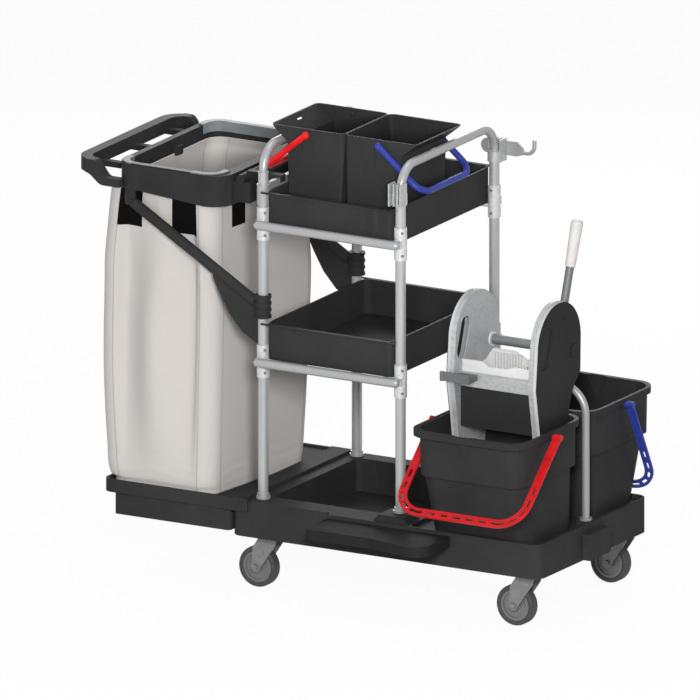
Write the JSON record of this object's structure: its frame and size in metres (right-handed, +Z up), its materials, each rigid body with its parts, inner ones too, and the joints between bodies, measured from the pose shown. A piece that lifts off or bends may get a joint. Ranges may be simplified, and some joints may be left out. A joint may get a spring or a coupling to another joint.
{
  "type": "janitor cart",
  "caption": "Janitor cart on swivel casters: moulded base, tube frame with trays and small buckets, bag holder with push handle, mop buckets and a lever wringer",
  "frame": {"origin": "on the floor, at the centre of the bounding box", "axes": "X along the cart from the push handle to the mop buckets, Y from the front to the back, Z up"},
  "size_m": [1.319, 0.732, 1.1202],
  "materials": {
    "black_plastic": "moulded black plastic, fine grain",
    "silver_tube": "silver tube, satin",
    "shaft_grey": "mid grey coated steel, satin",
    "cast_grey": "light grey casting, satin",
    "zinc_steel": "zinc plated pressed steel",
    "wheel_grey": "grey moulded wheel",
    "tyre_rubber": "dark grey rubber tread",
    "slate_plastic": "slate grey plastic",
    "plate_grey": "light grey painted plate",
    "white_plastic": "white moulded plastic",
    "red_plastic": "red moulded plastic",
    "blue_plastic": "blue moulded plastic",
    "canvas": "pale coated cloth",
    "patch_cloth": "black cloth patch"
  },
  "bodies": {
    "frame": {"base_chassis": "black_plastic", "front_step": "black_plastic", "side_bumper": "black_plastic", "bag_platform": "black_plastic", "upper_tray": "black_plastic", "middle_tray": "black_plastic", "pail_red": "black_plastic", "pail_blue": "black_plastic", "bag_ring": "black_plastic", "strut_front": "black_plastic", "strut_back": "black_plastic", "strut_clamps": "black_plastic", "posts": "silver_tube", "post_feet": "silver_tube", "left_arch": "silver_tube", "right_arch": "silver_tube", "upper_rails": "silver_tube", "lower_rails": "silver_tube", "ring_carrier": "silver_tube", "tool_clips": "silver_tube", "mop_hook": "silver_tube", "divider_hoop": "silver_tube", "sleeve_screws": "silver_tube", "rail_sleeves": "cast_grey", "caster_plates": "zinc_steel", "bag": "canvas", "bag_patches": "patch_cloth"},
    "bucket_front": {"bucket_front": "black_plastic"},
    "bucket_back": {"bucket_back": "black_plastic"},
    "bail_front": {"bail_front": "red_plastic"},
    "bail_back": {"bail_back": "blue_plastic"},
    "wringer": {"wringer_plates": "plate_grey", "wringer_covers": "black_plastic", "wringer_panel": "black_plastic", "wringer_crossbar": "cast_grey", "wringer_deck": "black_plastic", "basket_plate": "white_plastic", "mop_ledge": "slate_plastic", "shaft_bushes": "white_plastic"},
    "lever": {"wringer_shaft": "shaft_grey", "wringer_lever": "shaft_grey", "lever_grip": "white_plastic"},
    "press": {"press_plate": "white_plastic"},
    "pail_bail_red": {"pail_bail_red": "red_plastic"},
    "pail_bail_blue": {"pail_bail_blue": "blue_plastic"},
    "bag_clamp_front": {"bag_clamp_front": "slate_plastic"},
    "bag_clamp_back": {"bag_clamp_back": "slate_plastic"},
    "caster_fl": {"caster_fork_fl": "zinc_steel"},
    "wheel_fl": {"caster_hub_fl": "wheel_grey", "caster_tyre_fl": "tyre_rubber"},
    "caster_fr": {"caster_fork_fr": "zinc_steel"},
    "wheel_fr": {"caster_hub_fr": "wheel_grey", "caster_tyre_fr": "tyre_rubber"},
    "caster_bl": {"caster_fork_bl": "zinc_steel"},
    "wheel_bl": {"caster_hub_bl": "wheel_grey", "caster_tyre_bl": "tyre_rubber"},
    "caster_br": {"caster_fork_br": "zinc_steel"},
    "wheel_br": {"caster_hub_br": "wheel_grey", "caster_tyre_br": "tyre_rubber"}
  },
  "joints": [
    {"name": "bucket_front_lift", "type": "slide", "parent": "frame", "child": "bucket_front", "axis": [0, 0, 1], "range_m": [0, 0.25]},
    {"name": "bucket_back_lift", "type": "slide", "parent": "frame", "child": "bucket_back", "axis": [0, 0, 1], "range_m": [0, 0.09]},
    {"name": "wringer_lift", "type": "slide", "parent": "bucket_front", "child": "wringer", "axis": [0, 0, 1], "range_m": [0, 0.3]},
    {"name": "bail_front_swing", "type": "hinge", "parent": "bucket_front", "child": "bail_front", "pos_m": [0.473, -0.142, 0.4642], "axis": [-1, 0, 0], "range_deg": [0, 115]},
    {"name": "bail_back_swing", "type": "hinge", "parent": "bucket_back", "child": "bail_back", "pos_m": [0.473, 0.204, 0.4642], "axis": [1, 0, 0], "range_deg": [0, 120]},
    {"name": "lever_turn", "type": "hinge", "parent": "wringer", "child": "lever", "pos_m": [0.473, 0.017, 0.635], "axis": [1, 0, 0], "range_deg": [0, 70]},
    {"name": "press_travel", "type": "slide", "parent": "wringer", "child": "press", "axis": [0, -1, 0], "range_m": [0, 0.045]},
    {"name": "pail_bail_red_swing", "type": "hinge", "parent": "frame", "child": "pail_bail_red", "pos_m": [-0.0695, 0.011, 1.1062], "axis": [0, 1, 0], "range_deg": [0, 7]},
    {"name": "pail_bail_blue_swing", "type": "hinge", "parent": "frame", "child": "pail_bail_blue", "pos_m": [0.1305, 0.011, 1.1062], "axis": [0, -1, 0], "range_deg": [0, 15]},
    {"name": "clamp_front_lift", "type": "slide", "parent": "frame", "child": "bag_clamp_front", "axis": [0, 0, 1], "range_m": [0, 0.06]},
    {"name": "clamp_back_lift", "type": "slide", "parent": "frame", "child": "bag_clamp_back", "axis": [0, 0, 1], "range_m": [0, 0.06]},
    {"name": "swivel_fl", "type": "hinge", "parent": "frame", "child": "caster_fl", "pos_m": [-0.1205, -0.178, 0.125], "axis": [0, 0, 1], "continuous": true},
    {"name": "roll_fl", "type": "hinge", "parent": "caster_fl", "child": "wheel_fl", "pos_m": [-0.1555, -0.178, 0.05], "axis": [0, 1, 0], "continuous": true},
    {"name": "swivel_fr", "type": "hinge", "parent": "frame", "child": "caster_fr", "pos_m": [0.5865, -0.178, 0.125], "axis": [0, 0, 1], "continuous": true},
    {"name": "roll_fr", "type": "hinge", "parent": "caster_fr", "child": "wheel_fr", "pos_m": [0.5515, -0.178, 0.05], "axis": [0, 1, 0], "continuous": true},
    {"name": "swivel_bl", "type": "hinge", "parent": "frame", "child": "caster_bl", "pos_m": [-0.1205, 0.271, 0.125], "axis": [0, 0, 1], "continuous": true},
    {"name": "roll_bl", "type": "hinge", "parent": "caster_bl", "child": "wheel_bl", "pos_m": [-0.1555, 0.271, 0.05], "axis": [0, 1, 0], "continuous": true},
    {"name": "swivel_br", "type": "hinge", "parent": "frame", "child": "caster_br", "pos_m": [0.5865, 0.271, 0.125], "axis": [0, 0, 1], "continuous": true},
    {"name": "roll_br", "type": "hinge", "parent": "caster_br", "child": "wheel_br", "pos_m": [0.5515, 0.271, 0.05], "axis": [0, 1, 0], "continuous": true}
  ],
  "couplings": [
    {"joint": "press_travel", "follows": "lever_turn", "m_per_rad": 0.0368}
  ]
}
